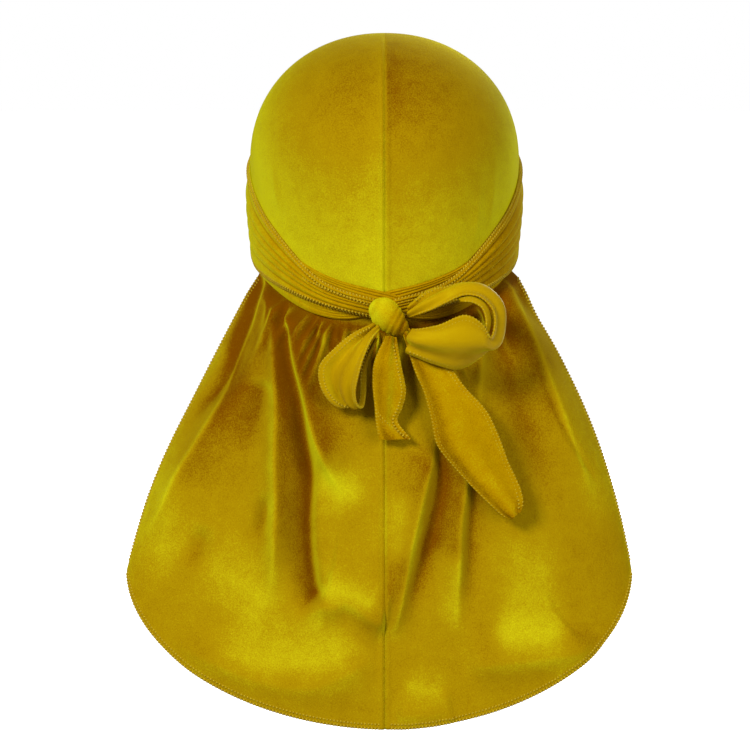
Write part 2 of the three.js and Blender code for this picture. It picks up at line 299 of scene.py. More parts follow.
# Folds in the rear elevation, x and z in millimetres. Each follows its path and rises outwards, or
# sinks where the rise is negative, and falls away in the widths on its two sides. The right of a
# fold that runs from left to right is its lower side.
tailFolds = [
    {
        "name": "left margin valley",
        "path": [(-68, -38), (-71, -54), (-81, -81), (-91, -107), (-104, -124), (-122, -147)],
        **bent(-11, 5, 8, (0.03, 0.4)),
    },
    {
        "name": "left outer ridge",
        "path": [
            (-60, -34), (-66, -52), (-78, -78), (-88, -102), (-96, -124), (-109, -147),
            (-119, -163), (-131, -186), (-144, -206),
        ],
        **bent(9, 7, 14, (0.03, 0.25)),
    },
    {
        "name": "left soft valley",
        "path": [(-70, -105), (-74, -122), (-84, -152)],
        **bent(-4, 8, 7, (0.3, 0.4)),
    },
    {
        "name": "left upright ridge",
        "path": [
            (-62, -40), (-62, -58), (-62, -96), (-61, -125), (-62, -151), (-62, -182),
            (-64, -210), (-67, -238),
        ],
        **bent(11, 5, 9, (0.03, 0.25)),
    },
    {
        "name": "left deep valley",
        "path": [
            (-59, -44), (-57, -68), (-54, -96), (-49, -118), (-47, -139), (-44, -161),
            (-45, -186), (-44, -208), (-41, -226), (-35, -237),
        ],
        **bent(-10, 9, 4, (0.03, 0.1)),
    },
    {
        "name": "left inner ridge",
        "path": [
            (-54, -42), (-53, -62), (-51, -93), (-47, -113), (-42, -132), (-37, -147),
            (-31, -161), (-20, -178),
        ],
        **bent(11, 4, 13, (0.03, 0.3)),
    },
    {
        "name": "left first gather",
        "path": [(-45, -68), (-44.5, -80), (-44, -96)],
        **bent(3.5, 3.5, 3.5, (0.05, 0.7)),
    },
    {
        "name": "left gather pit",
        "path": [(-39, -72), (-39, -82), (-38, -98)],
        **bent(-4, 3, 3, (0.05, 0.7)),
    },
    {
        "name": "left second gather",
        "path": [(-35, -70), (-33, -84), (-30, -110)],
        **bent(4, 3.5, 4, (0.05, 0.7)),
    },
    {
        "name": "left billow",
        "path": [
            (-42, -231), (-37, -235), (-30, -237), (-23, -234), (-16, -237), (-8, -243),
            (2, -247),
        ],
        **bent(6, 24, 8, (0.15, 0.1)),
    },
    {
        "name": "left hem swell",
        "path": [(-128, -254), (-102, -267), (-71, -279), (-43, -282), (-23, -275), (0, -262)],
        **bent(6, 15, 13, (0.2, 0.2)),
    },
    {
        "name": "seam ridge",
        "path": [
            (30, -128), (28, -150), (24.5, -163), (20.5, -180), (16, -200), (12.5, -220),
            (7.5, -243), (2, -258),
        ],
        **bent(8, 14, 5, (0.3, 0.25)),
    },
    {
        "name": "seam valley",
        "path": [(35, -130), (33, -150), (31, -172), (24, -200), (19, -217), (11, -243)],
        **bent(-6, 5, 9, (0.2, 0.3)),
    },
    {
        "name": "right inner ridge",
        "path": [
            (46, -100), (48, -140), (47, -165), (44, -187), (43, -206), (42, -227),
            (40.5, -262),
        ],
        **bent(7, 10, 5, (0.2, 0.3)),
    },
    {
        "name": "right inner valley",
        "path": [(52, -150), (51, -172), (49, -197), (49, -250)],
        **bent(-4, 5, 8, (0.3, 0.35)),
    },
    {
        "name": "right gather",
        "path": [(54, -46), (54, -66), (55, -91), (54.5, -113), (55, -135)],
        **bent(6, 5, 5, (0.05, 0.5)),
    },
    {
        "name": "right wedge valley",
        "path": [(58, -46), (62, -66), (66, -80), (78, -119), (91, -153), (98, -185)],
        **bent(-4.5, 13, 9, (0.05, 0.4)),
    },
    {
        "name": "right outer ridge",
        "path": [(66, -36), (72, -56), (84, -84), (98, -119), (112, -152), (124, -185)],
        **bent(8, 9, 16, (0.05, 0.4)),
    },
    {
        "name": "right edge crease",
        "path": [(81, -86), (95.5, -121), (111, -150), (126, -172)],
        **bent(-1.4, 1.6, 2.4, (0.2, 0.3)),
    },
    {
        "name": "right margin valley",
        "path": [(60, -40), (70, -56), (84, -70), (97, -84), (106, -100)],
        **bent(-3, 6, 6, (0.1, 0.5)),
    },
    {
        "name": "right hem swell",
        "path": [(44, -272), (61, -269), (86, -267), (112, -263), (122, -252)],
        **bent(6, 18, 11, (0.25, 0.25)),
    },
    {
        "name": "right hem flare",
        "path": [(4, -296), (18, -298), (40, -296)],
        **bent(4, 14, 10, (0.3, 0.3)),
    },
    {
        "name": "right hem ridge",
        "path": [(34, -280), (36, -292), (39, -303)],
        **bent(2, 4, 3, (0.4, 0.1)),
    },
    {
        "name": "left margin gather",
        "path": [(-70, -50), (-73, -62), (-79, -84)],
        **bent(3, 3.5, 3, (0.05, 0.7)),
    },
    {
        "name": "left edge gather",
        "path": [(-64.5, -52), (-67, -70), (-73, -96)],
        **bent(4, 3.5, 3, (0.05, 0.7)),
    },
    {
        "name": "left third gather",
        "path": [(-28, -72), (-27, -84), (-25, -104)],
        **bent(3.5, 3, 3, (0.05, 0.7)),
    },
    {
        "name": "right first gather",
        "path": [(47, -66), (48, -78), (49, -96)],
        **bent(3, 3, 3, (0.05, 0.7)),
    },
    {
        "name": "right second gather",
        "path": [(61, -60), (63, -74), (67, -94)],
        **bent(3.5, 3, 3, (0.05, 0.7)),
    },
    {
        "name": "left first streak",
        "path": [(-105, -190), (-109, -204), (-114, -218)],
        **bent(-4, 5, 6, (0.4, 0.5)),
    },
    {
        "name": "left second streak",
        "path": [(-67, -170), (-70, -186), (-74, -202)],
        **bent(-4.5, 5, 4, (0.4, 0.5)),
    },
]
# What the straps' pull leaves in the crown: slight dents above the nape, and gathers at the sides
crownFolds = [
    {
        "name": "left nape dent",
        "path": [(-9, -44), (-9.5, -56), (-9, -70)],
        **bent(-1.2, 4, 4, (0.6, 0.1)),
    },
    {
        "name": "right nape dent",
        "path": [(25, -46), (25, -56), (24, -70)],
        **bent(-1.4, 5, 4, (0.6, 0.1)),
    },
    {
        "name": "right side gather",
        "path": [(64, 30), (63, 0), (60, -20)],
        **bent(0.9, 3, 3, (0.6, 0.2)),
    },
    {
        "name": "right side second gather",
        "path": [(55, 10), (54, -10), (52, -28)],
        **bent(0.7, 3, 3, (0.6, 0.2)),
    },
    {
        "name": "left side gather",
        "path": [(-66, 25), (-64, 5), (-60, -12)],
        **bent(0.8, 3, 3, (0.6, 0.2)),
    },
]

# Painted sheen and painted shade on the tail's pile: a positive rise is paler
paintedSheenAndShade = [
    {
        "name": "left inner sheen",
        "path": [(-40, -158), (-26, -166), (-10, -180)],
        **bent(0.34, 11, 14, (0.3, 0.4)),
    },
    {
        "name": "billow sheen",
        "path": [(-38, -226), (-22, -228), (-2, -236)],
        **bent(0.32, 12, 7, (0.2, 0.2)),
    },
    {
        "name": "under the billow",
        "path": [(-38, -241), (-22, -242), (0, -252)],
        **bent(-0.22, 6, 10, (0.15, 0.15)),
    },
    {
        "name": "left hem sheen",
        "path": [(-110, -256), (-80, -266), (-46, -268), (-24, -262), (-4, -256)],
        **bent(0.32, 24, 12, (0.3, 0.3)),
    },
    {
        "name": "left hem shade",
        "path": [(-110, -272), (-76, -284), (-40, -290), (-4, -286)],
        **bent(-0.12, 8, 10, (0.2, 0.2)),
    },
    {
        "name": "left margin strip",
        "path": [(-70, -46), (-79, -70), (-93, -98)],
        **bent(-0.2, 9, 3, (0.05, 0.2)),
    },
    {
        "name": "left edge sheen",
        "path": [(-116, -150), (-124, -180), (-130, -210), (-118, -230)],
        **bent(0.24, 15, 18, (0.3, 0.4)),
    },
    {
        "name": "seam sheen",
        "path": [(12, -165), (9, -190), (6, -215)],
        **bent(0.28, 12, 9, (0.3, 0.3)),
    },
    {
        "name": "seam pit",
        "path": [(31, -150), (29, -172), (25, -196), (19, -214)],
        **bent(-0.25, 4, 8, (0.2, 0.3)),
    },
    {
        "name": "right inner sheen",
        "path": [(41, -200), (40, -225), (40, -256)],
        **bent(0.22, 9, 4, (0.3, 0.3)),
    },
    {
        "name": "right wedge shade",
        "path": [(64, -80), (76, -118), (90, -152), (98, -186)],
        **bent(-0.02, 8, 9, (0.2, 0.4)),
    },
    {
        "name": "right edge sheen",
        "path": [(92, -96), (106, -128), (118, -165), (130, -205)],
        **bent(0.2, 8, 12, (0.2, 0.3)),
    },
    {
        "name": "right hem sheen",
        "path": [(56, -250), (84, -254), (112, -250)],
        **bent(0.4, 24, 12, (0.3, 0.3)),
    },
    {
        "name": "left belly sheen",
        "path": [(-112, -205), (-84, -224), (-56, -240)],
        **bent(0.2, 22, 20, (0.3, 0.3)),
    },
    {
        "name": "seam foot sheen",
        "path": [(8, -278), (22, -284), (40, -284)],
        **bent(0.26, 9, 10, (0.3, 0.3)),
    },
    {
        "name": "right belly sheen",
        "path": [(60, -196), (84, -214), (104, -224)],
        **bent(0.14, 18, 18, (0.3, 0.3)),
    },
    {
        "name": "right hem shade",
        "path": [(46, -276), (72, -276), (104, -272)],
        **bent(-0.14, 5, 10, (0.25, 0.25)),
    },
]


def runsDown(path):
    return abs(path[-1][1] - path[0][1]) > abs(path[-1][0] - path[0][0])


def foldRise(x, z, folds):
    total = np.zeros_like(x)
    for fold in folds:
        path = throughPoints(fold["path"], 6 * len(fold["path"]))
        nearest = np.full_like(x, 1e9)
        side = np.zeros_like(x)
        along = np.zeros_like(x)
        for step in range(len(path) - 1):
            (startX, startZ), (runX, runZ) = path[step], path[step + 1] - path[step]
            share = ((x - startX) * runX + (z - startZ) * runZ) / (runX**2 + runZ**2)
            share = np.clip(share, 0, 1)
            offX = x - startX - share * runX
            offZ = z - startZ - share * runZ
            distance = np.hypot(offX, offZ)
            closer = distance < nearest
            nearest = np.where(closer, distance, nearest)
            side = np.where(closer, runX * offZ - runZ * offX, side)
            along = np.where(closer, (step + share) / (len(path) - 1), along)
        fadeIn, fadeOut = fold["fade"]
        shown = rampUp(0, fadeIn, along) * (1 - rampUp(1 - fadeOut, 1, along))
        # Where side is positive lies right of a path that runs down, and above a path that runs right
        rightward = side > 0 if runsDown(path) else side < 0
        width = np.where(rightward, fold["right"], fold["left"])
        crisp = 1.3 if fold["rise"] > 0 else 1.8  # ridges are sharper than valleys
        total += fold["rise"] * shown * np.exp(-((nearest / width) ** crisp))
    return total


# The tail below the straps: gathered at the rim, flaring to a rounded hem
tail = {
    "endTurn": 80,
    "widestZ": -220,
    "hemZ": -306,
    "hemBack": -112,
    "hemSideForward": 48,
    "flare": 1.3,
    "puff": 8,
    "foldStart": 0.04,
    "gathers": 12,  # on each side of the seam
    "gatherRise": 4,
    "gatherMiddle": 0.4,
    "gatherWaves": [(0.35, 11), (0.2, 23)],  # uneven spacing: share of a gather, and how often
    "gatherFull": 0.03,  # share of the drop where the gathers start to run out
    "gatherGone": 0.16,
    "gatherUneven": 0.06,
    "foldTurn": 0.5,
    "foldTurnHem": 0.2,
    "left": {"halfWidth": 151, "bow": 7, "bowPower": 1.5, "hemPower": 1.86},
    "right": {"halfWidth": 144.5, "bow": 10, "bowPower": 1.25, "hemPower": 1.93},
}
seam = {"lip": 0.9, "lipAt": 1.8, "lipWidth": 1.3, "groove": 1.5, "grooveWidth": 0.8, "overlap": 0.4}


def seamRise(x):
    away = np.abs(x)
    lip = seam["lip"] * np.exp(-(((away - seam["lipAt"]) / seam["lipWidth"]) ** 2))
    return lip * np.where(x < 0, 1.0, 0.6) - seam["groove"] * np.exp(-((away / seam["grooveWidth"]) ** 2))


def closeSeam(points, side):
    # The two seam allowances cross in the groove, so no light comes through
    points[:, 0] -= side * seam["overlap"] * np.exp(-(points[:, 0] ** 2))
    return points


def gatherRidge(across, down):
    # Ridges of the gathers under the straps, from 0 to 1, and how much of them shows
    uneven = sum(size * np.sin(often * across) for size, often in tail["gatherWaves"])
    wander = tail["gathers"] * across + uneven
    ridge = np.cos(math.pi * wander) ** 4
    gone = tail["gatherGone"] + tail["gatherUneven"] * np.sin(17 * across)
    return ridge, rampUp(0, 0.025, down) * (1 - rampUp(tail["gatherFull"], gone, down))


def turnAcross(across):
    return np.degrees(np.arcsin(np.sin(math.radians(tail["endTurn"])) * across))


def tailPlain(side, across, down):
    # The tail without its folds, and the turn that it started from
    shape = tail["left"] if side < 0 else tail["right"]
    turn = turnAcross(across)
    top = crownPoint(side * turn, rimHeight(turn))
    around = np.radians(90 * across)
    hemX = side * shape["halfWidth"] * np.sin(around) ** (2 / shape["hemPower"])
    hemZ = mix(tail["widestZ"], tail["hemZ"], np.maximum(0, np.cos(around)) ** (2 / shape["hemPower"]))
    hemY = tail["hemBack"] + tail["hemSideForward"] * across**2
    bow = shape["bow"] * np.sin(math.pi * down ** shape["bowPower"])
    x = mix(top[:, 0], hemX, down) + side * across * bow
    y = mix(top[:, 1], hemY, down ** tail["flare"]) - tail["puff"] * np.sin(math.pi * np.sqrt(down))
    z = mix(top[:, 2], hemZ, down)
    return np.stack([x, y, z], axis=-1), turn


def tailSurface(side, across, down):
    points, turn = tailPlain(side, across, down)
    x, z = points[:, 0], points[:, 2]
    facing = np.radians(turn * mix(tail["foldTurn"], tail["foldTurnHem"], down))
    back = np.stack([side * np.sin(facing), -np.cos(facing), np.zeros_like(x)], axis=-1)
    ridge, gathered = gatherRidge(across, down)
    opened = rampUp(0, tail["foldStart"], down)
    rise = foldRise(x, z, tailFolds) * opened + seamRise(x)
    rise = rise + tail["gatherRise"] * (ridge - tail["gatherMiddle"]) * gathered
    points = points + back * rise[:, None]
    return closeSeam(points, side)


# Painted shade: fold bottoms are painted deep and brown, ridges carry a fine painted highlight line,
# and their flanks are painted darker, over the fold's own width on the left and more than that on
# the right. Gathers are painted pale on their ridges, and the cloth just under the straps is painted
# in their shade.
foldShade = {
    "all": -0.06,
    "valley": 0.036,
    "gather": 0.36,
    "gatherMiddle": 0.7,
    "line": 0.36,
    "lineFrom": 2.5,  # lowest ridge that carries a line
    "lineWidth": 1.5,
    "flank": -0.22,
    "leftFlank": 1.0,
    "rightFlank": 1.6,
    "darkest": -0.44,
    "palest": 0.42,
    "underStrap": -0.3,
    "underStrapEnd": 0.03,
}


def tailShade(side, across, down):
    place = tailPlain(side, across, down)[0]
    x, z = place[:, 0], place[:, 2]
    valleys = [fold for fold in tailFolds if fold["rise"] < 0]
    ridges = [fold for fold in tailFolds if fold["rise"] > foldShade["lineFrom"] and runsDown(fold["path"])]
    width = foldShade["lineWidth"]
    lines = [{**fold, "rise": foldShade["line"], "left": width, "right": width} for fold in ridges]
    flanks = [
        {
            **fold,
            "rise": foldShade["flank"],
            "left": fold["left"] * foldShade["leftFlank"],
            "right": fold["right"] * foldShade["rightFlank"],
        }
        for fold in ridges
    ]
    shade = foldShade["valley"] * foldRise(x, z, valleys) + foldRise(x, z, lines + flanks + paintedSheenAndShade)
    ridge, gathered = gatherRidge(across, down)
    shade = shade + foldShade["gather"] * (ridge - foldShade["gatherMiddle"]) * gathered + foldShade["all"]
    clear = rampUp(0, foldShade["underStrapEnd"], down)
    shade = np.clip(shade, foldShade["darkest"], foldShade["palest"])
    return mix(foldShade["underStrap"], shade, clear)


def crownSurface(side, turn, down):
    z = crownHeight(turn, down)
    plain = crownPoint(side * turn, z)
    behind = rampUp(0, -20, plain[:, 1])
    out = foldRise(plain[:, 0], z, crownFolds) * behind + seamRise(plain[:, 0])
    out = out * rampUp(0, 0.1, down)
    return closeSeam(crownPoint(side * turn, z, out), side)


# Painted light on the crown: a painted sheen towards the nape that leaves the top darker, painted shade
# at the rim under the straps, and beside the seam a painted highlight on the left and painted shade on the
# right
crownShades = {
    "nape": 0.24,
    "rim": -0.5,
    "top": -0.1,
    "leftOfSeam": 0.1,
    "rightOfSeam": -0.07,
    "seamReach": 13,
}


def crownShade(side, turn, down):
    x = crownSurface(side, turn, down)[:, 0]
    beside = crownShades["leftOfSeam"] if side < 0 else crownShades["rightOfSeam"]
    low = crownShades["nape"] * rampUp(0.5, 0.88, down) + crownShades["rim"] * rampUp(0.93, 1, down)
    seamSide = beside * np.exp(-((x / crownShades["seamReach"]) ** 2))
    return crownShades["top"] + low * rampUp(100, 40, turn) + seamSide


# Meshes from sheets of cloth
def addSheet(mesh, columns, rows, place, shade=None):
    # A flat grid whose points go to place(across, along), both from 0 to 1, with its own painted light and
    # shade
    paintedLightAndShade = mesh.verts.layers.float.get("paintedLightAndShade") or mesh.verts.layers.float.new("paintedLightAndShade")
    made = bmesh.ops.create_grid(mesh, x_segments=columns, y_segments=rows, size=0.5)["verts"]
    flat = np.array([point.co[:2] for point in made]) + 0.5
    shades = shade(flat[:, 0], flat[:, 1]) if shade else np.zeros(len(flat))
    for point, spot, value in zip(made, place(flat[:, 0], flat[:, 1]) * mm, shades):
        point.co = spot
        point[paintedLightAndShade] = value


# Painted light and shade, stored as the nap: paler on slopes that face left or down, a painted sheen
# on those that turn aside. Each sheet's own painted light and shade is added to it.
panelPaintedLight = {"middle": 0.55, "left": 0.05, "down": 0.36, "aside": 1.0}
strapPaintedLight = {"middle": 0.48, "left": 0.16, "down": 0.02, "aside": 0.55}


def setNapAndPaintedLight(mesh, napAndPaintedLight):
    mesh.normal_update()
    layer = mesh.verts.layers.float.new("napAndPaintedLight")
    paintedLightAndShade = mesh.verts.layers.float.get("paintedLightAndShade")
    for point in mesh.verts:
        x, y, z = point.normal
        aside = (1 - abs(y)) ** 2 * (1 - 0.5 * max(0, z))  # half as much on top
        lie = napAndPaintedLight["middle"] - napAndPaintedLight["left"] * x - napAndPaintedLight["down"] * z + napAndPaintedLight["aside"] * aside
        point[layer] = min(1, max(0, lie + (point[paintedLightAndShade] if paintedLightAndShade else 0)))


def finishPiece(name, mesh, material, slotName, wall=0.0, offset=-1.0):
    setNapAndPaintedLight(mesh, panelPaintedLight if slotName == "panel_velvet" else strapPaintedLight)
    data = bpy.data.meshes.new(name)
    mesh.to_mesh(data)
    mesh.free()
    data.shade_smooth()
    data.materials.append(material)
    piece = bpy.data.objects.new(name, data)
    bpy.context.collection.objects.link(piece)
    if wall:
        solid = piece.modifiers.new("wall", "SOLIDIFY")
        solid.thickness = wall * mm
        solid.offset = offset
    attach(piece, "root")
    return piece


def faceOut(mesh, inside):
    # Turns the whole sheet round where most of its faces look towards the point inside
    mesh.normal_update()
    centre = Vector(inside) * mm
    facing = 0
    for face in mesh.faces:
        facing += face.calc_area() * face.normal.dot(face.calc_center_median() - centre)
    if facing < 0:
        bmesh.ops.reverse_faces(mesh, faces=mesh.faces)


# Panels: one side of the cap and tail each, cut in one piece
panelCut = {"wall": 1.3, "columns": 160, "frontColumns": 46, "crownRows": 52, "tailRows": 150, "finer": 0.45}


def finerEnds(share):
    # Closer columns at the seam and at the tail's side edge
    return share - panelCut["finer"] * np.sin(2 * math.pi * share) / (2 * math.pi)


def makePanel(name, side):
    mesh = bmesh.new()
    spec = panelCut
    addSheet(
        mesh,
        spec["columns"],
        spec["crownRows"],
        lambda across, down: crownSurface(side, turnAcross(finerEnds(across)), down),
        lambda across, down: crownShade(side, turnAcross(finerEnds(across)), down),
    )
    addSheet(
        mesh,
        spec["frontColumns"],
        spec["crownRows"],
        lambda across, down: crownSurface(side, mix(tail["endTurn"], 180, across), down),
        lambda across, down: crownShade(side, mix(tail["endTurn"], 180, across), down),
    )
    addSheet(
        mesh,
        spec["columns"],
        spec["tailRows"],
        lambda across, down: tailSurface(side, finerEnds(across), down),
        lambda across, down: tailShade(side, finerEnds(across), down),
    )
    bmesh.ops.remove_doubles(mesh, verts=mesh.verts, dist=0.01 * mm)
    faceOut(mesh, (0, 30, -60))
    piece = finishPiece("velvet_" + name, mesh, panelVelvet, "panel_velvet", spec["wall"])
    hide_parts(name)
    return piece


velvetPanels = {"left": makePanel("panel_left", -1), "right": makePanel("panel_right", 1)}
print("panels laid")

# Straps, by sections along the way: turn in degrees from the back seam, growing away from the
# strap's own root, then middle height, half height and layer, 1 innermost.
strapRoot = [(-105, 0, 16, 1), (-60, -33, 11, 1), (-38, -46, 5, 1)]
strapLast = [(270, -13, 27, 3), (300, -35, 18, 3), (330, -57, 7.5, 3), (359, -67, 5.5, 3)]
strapRows = {
    "left": strapRoot
    + [
        (-24, -53, 4.5, 2),
        (0, -62, 6, 2),
        (24, -67.5, 5, 2),
        (60, -44, 12, 2),
        (90, -17, 20, 2),
        (135, 10, 18, 2),
        (180, 24, 16, 2),
        (208, 16, 12, 2),
        (224, 14, 14, 3),
        (240, 4, 24, 3),
    ]
    + strapLast,
    "right": strapRoot
    + [
        (-24, -53, 4.5, 1),
        (0, -62, 6, 1),
        (24, -67.5, 5, 1),
        (38, -63, 6, 2),
        (60, -45, 12, 2),
        (90, -17, 20, 2),
        (120, 22, 14, 2),
        (136, 42, 11, 2),
        (150, 44, 12, 3),
        (180, 32, 16, 3),
        (225, 12, 24, 3),
    ]
    + strapLast,
}
strapCut = {
    "wall": 0.75,
    "lay": 1.1,  # outer face of the first layer above the crown
    "pitch": 1.0,  # from layer to layer
    "along": 330,
    "across": 56,
    "pleats": 6,
    "pleatRise": 1.2,
    "drift": 0.035,
    "driftTurn": 210,  # degrees
    "pleatFrom": 232,
    "pleatFull": 262,
    "hugDepth": 2.3,
    "hugShare": 0.42,
}


def strapSection(side, turn):
    # Middle and half height run smoothly through the rows, and the layer changes between two rows
    rows = np.array(strapRows["left" if side < 0 else "right"], dtype=float)
    slopes = np.gradient(rows, rows[:, 0], axis=0)
    step = np.clip(np.searchsorted(rows[:, 0], turn) - 1, 0, len(rows) - 2)
    span = rows[step + 1, 0] - rows[step, 0]
    t = np.clip((turn - rows[step, 0]) / span, 0, 1)
    eased = t * t * (3 - 2 * t)
    middle, half = (
        mix(rows[step, k], rows[step + 1, k], eased)
        + span * t * (1 - t) * (slopes[step, k] * (1 - t) - slopes[step + 1, k] * t)
        for k in (1, 2)
    )
    return middle, half, mix(rows[step, 3], rows[step + 1, 3], eased)


def bunched(turn):
    # The cloth is bunched in pleats round the nape, at the strap's root and on its last run
    last = rampUp(strapCut["pleatFrom"], strapCut["pleatFull"], turn)
    return np.maximum(last, 0.7 * (1 - rampUp(10, 50, turn)) * rampUp(-100, -80, turn))


def strapFold(turn, over):
    # Share of the way across a pleat, for pleats that drift a little along the strap
    drift = over + strapCut["drift"] * np.sin(2 * math.pi * (1.1 * over + turn / strapCut["driftTurn"]))
    return np.mod(drift * strapCut["pleats"], 1.0)


def strapSurface(side, turn, over):
    middle, half, layer = strapSection(side, turn)
    spec = strapCut
    outer = rampUp(60, 100, turn) * rampUp(5, 14, half) * (layer - 1) / 2
    hug = outer * spec["hugDepth"] * (1 - rampUp(0, spec["hugShare"], over))
    pleat = np.sin(math.pi * strapFold(turn, over) ** 1.4) ** 0.7
    pleat = pleat * spec["pleatRise"] * bunched(turn)
    pleat = pleat * rampUp(0, 0.06, over) * rampUp(0, 0.06, 1 - over)
    soft = 0.4 * np.sin(math.pi * 3 * over) ** 2
    out = spec["lay"] + (layer - 1) * spec["pitch"] + np.maximum(pleat, soft) - hug
    return crownPoint(-side * turn, middle + half * (1 - 2 * over), out)


def strapShade(turn, over):
    # Painted shade in the grooves between the pleats, and bunched cloth painted a little darker as a whole
    fold = strapFold(turn, over)
    groove = np.exp(-((np.minimum(fold, 1 - fold) / 0.1) ** 2))
    return -(0.04 + 0.3 * groove) * bunched(turn)


def strapTurn(along):
    return mix(strapRoot[0][0], strapLast[-1][0], along)


def makeStrap(name, side):
    mesh = bmesh.new()
    addSheet(
        mesh,
        strapCut["along"],
        strapCut["across"],
        lambda along, over: strapSurface(side, strapTurn(along), over),
        lambda along, over: strapShade(strapTurn(along), over),
    )
    faceOut(mesh, (0, 0, -10))
    piece = finishPiece("velvet_" + name, mesh, strapVelvet, "strap_velvet", strapCut["wall"])
    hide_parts(name)
    return piece


velvetStraps = {"left": makeStrap("strap_left", -1), "right": makeStrap("strap_right", 1)}
print("straps wound")

# Bow ribbons by sections: the two edges of the cloth, and how far it bulges between them
ribbonRows = {
    "loop_right": [
        ((13, -92.5, -64), (14, -95, -70), 1),
        ((24.6, -91, -55), (26, -101, -65.5), 2),
        ((35.6, -88, -53), (36, -103, -60.5), 3),
        ((46, -86, -51), (45, -105, -56.5), 3),
        ((57, -84.5, -52.5), (54, -107, -57.5), 3),
        ((65.5, -86, -62), (61, -108, -64), 3),
        ((65.5, -89, -73), (62.5, -110, -72), 3),
        ((62, -93, -84), (60, -113, -80), 4),
        ((54, -98, -93), (55, -116.5, -72), 5),
        ((42, -102, -99), (45, -117, -67), 6),
        ((28.6, -104, -96), (31, -115.5, -72.5), 4),
        ((17, -103.5, -91.5), (20, -112, -75), 3),
        ((12, -102, -89.5), (15.5, -108, -75.5), 2),
    ],
    "loop_right_fold": [
        ((40, -95, -57.5), (43, -107, -60), 1),
        ((48, -94, -57), (50, -109, -60.5), 2),
        ((55, -95, -61), (55.5, -110.5, -64), 2),
        ((58.5, -97, -70), (57.5, -112, -71.5), 2),
        ((57, -99, -80), (55.5, -113, -79), 2),
        ((51, -101, -87), (51, -113, -84), 1),
    ],
    "loop_left": [
        ((-6, -97, -73), (-3, -99.8, -76), 1),
        ((-19, -102, -79), (-8, -107, -82), 2),
        ((-29, -105, -87), (-12, -111, -91), 3),
        ((-37.5, -105, -97), (-15, -112.5, -101), 4),
        ((-37, -103, -109), (-17, -111, -111), 4),
        ((-31, -100, -118.5), (-16, -107, -119), 3),
        ((-24, -97, -121.5), (-12.5, -102, -121), 1),
        ((-28, -95.5, -113), (-11, -98.5, -113), -2),
        ((-24, -95, -98), (-10, -97.5, -98), -1),
        ((-9, -93, -80), (-4, -95.3, -82), 0),
    ],
    "end_left": [
        ((0.5, -99, -80.4), (6.5, -99, -81), -1),
        ((-6, -103, -94.5), (9, -101, -96.5), -3),
        ((-7, -102, -107), (11.8, -100, -111.5), -3),
        ((-6, -101, -119), (10, -99, -121), -2),
        ((-5, -100, -131), (7.2, -98, -129.5), -1),
        ((-3.2, -99, -140.2), (15.2, -99, -139.8), 0),
    ],
    "end_right": [
        ((10.3, -97.4, -79.2), (13.7, -97.4, -75.8), 1),
        ((17, -98, -100), (36, -99, -97), -2),
        ((22.5, -98, -113), (46, -100, -110), -3),
        ((27, -98, -130), (58, -101, -123), -4),
        ((30, -98.5, -143), (65, -101.5, -137), -4),
        ((40, -99.5, -156), (71, -102, -153), -3),
        ((54, -101, -171), (77, -102, -166), -2),
        ((66, -101, -182.5), (79.3, -102, -175), -1),
        ((72, -101, -186), (78, -102, -181.5), 0),
    ],
}
# Soft lengthwise pleats of each ribbon: how many, how deep, and where across it the first begins
ribbonCut = {
    "wall": 1.1,
    "along": 130,
    "across": 36,
    "loop_right": {"pleats": 1.4, "depth": 2.0, "shift": 0.2},
    "loop_right_fold": {"pleats": 1, "depth": 0.8, "shift": 0.2},
    "loop_left": {"pleats": 1.6, "depth": 2.4, "shift": 0.55},
    "end_left": {"pleats": 1.4, "depth": 1.3, "shift": 0.1},
    "end_right": {"pleats": 1.3, "depth": 1.8, "shift": 0.3},
}


def ribbonWave(name, along, over):
    spec = ribbonCut[name]
    return np.sin(2 * math.pi * (spec["pleats"] * over + spec["shift"] + 0.25 * np.sin(3 * along)))


def ribbonSurface(name, along, over):
    rows = ribbonRows[name]
    edges = [[row[k] for row in rows] for k in (0, 1)]
    edgeA, edgeB = (throughPoints(edge, along) for edge in edges)
    ahead = np.clip(along + 0.004, 0, 1)
    behind = np.clip(along - 0.004, 0, 1)
    run = sum(throughPoints(edge, ahead) - throughPoints(edge, behind) for edge in edges)
    face = unit(np.cross(edgeB - edgeA, run))
    bulge = throughPoints([(row[2],) for row in rows], along)[:, 0]
    fromEdge = rampUp(0, 0.25, over) * rampUp(0, 0.25, 1 - over)
    # The pleats are deepest at the two ends and halfway along
    depth = ribbonCut[name]["depth"] * (0.55 + 0.45 * np.cos(2 * math.pi * along) ** 2)
    rise = bulge * np.sin(math.pi * over) + depth * ribbonWave(name, along, over) * fromEdge
    return mix(edgeA, edgeB, over[:, None]) + face * rise[:, None]


def ribbonShade(name, along, over):
    # Painted shade in the pleats, and towards the two ends of the ribbon
    nearEnds = 1 - rampUp(0, 0.2, along) * rampUp(0, 0.2, 1 - along)
    return -0.1 * rampUp(0, -1, ribbonWave(name, along, over)) - 0.14 * nearEnds


def makeRibbon(name):
    mesh = bmesh.new()
    addSheet(
        mesh,
        ribbonCut["along"],
        ribbonCut["across"],
        lambda along, over: ribbonSurface(name, along, over),
        lambda along, over: ribbonShade(name, along, over),
    )
    bmesh.ops.recalc_face_normals(mesh, faces=mesh.faces)
    cloth = satinBack if name.startswith("loop") else strapVelvet
    piece = finishPiece("velvet_" + name, mesh, cloth, "strap_velvet", ribbonCut["wall"], 0.0)
    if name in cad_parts:
        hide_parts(name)
    return piece


velvetRibbons = {name: makeRibbon(name) for name in ribbonRows}
print("bow folded")

